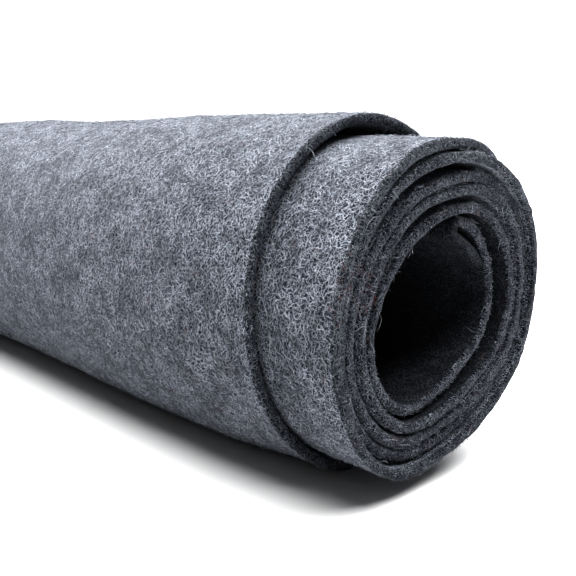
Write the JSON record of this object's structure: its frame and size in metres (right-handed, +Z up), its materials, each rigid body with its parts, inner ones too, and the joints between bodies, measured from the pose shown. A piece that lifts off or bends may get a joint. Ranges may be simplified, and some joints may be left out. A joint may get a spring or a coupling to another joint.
{
  "type": "roll of felt",
  "caption": "Sheet of thick grey felt wound into a loose roll with an open hollow; its outer turn is wound askew and stands back from the neat end.",
  "frame": {"origin": "middle of the roll's footprint, on the surface that it rests on", "axes": "+Y along the winding axis, from the neat end to the end where the outer turn reaches out; +Z up; +X to the right as seen from the neat end"},
  "size_m": [0.1038, 0.4826, 0.1015],
  "materials": {
    "felt": "matte, fuzzy, flecked with pale and dark fibres"
  },
  "bodies": {
    "root": {"felt_roll": "felt"}
  },
  "joints": []
}
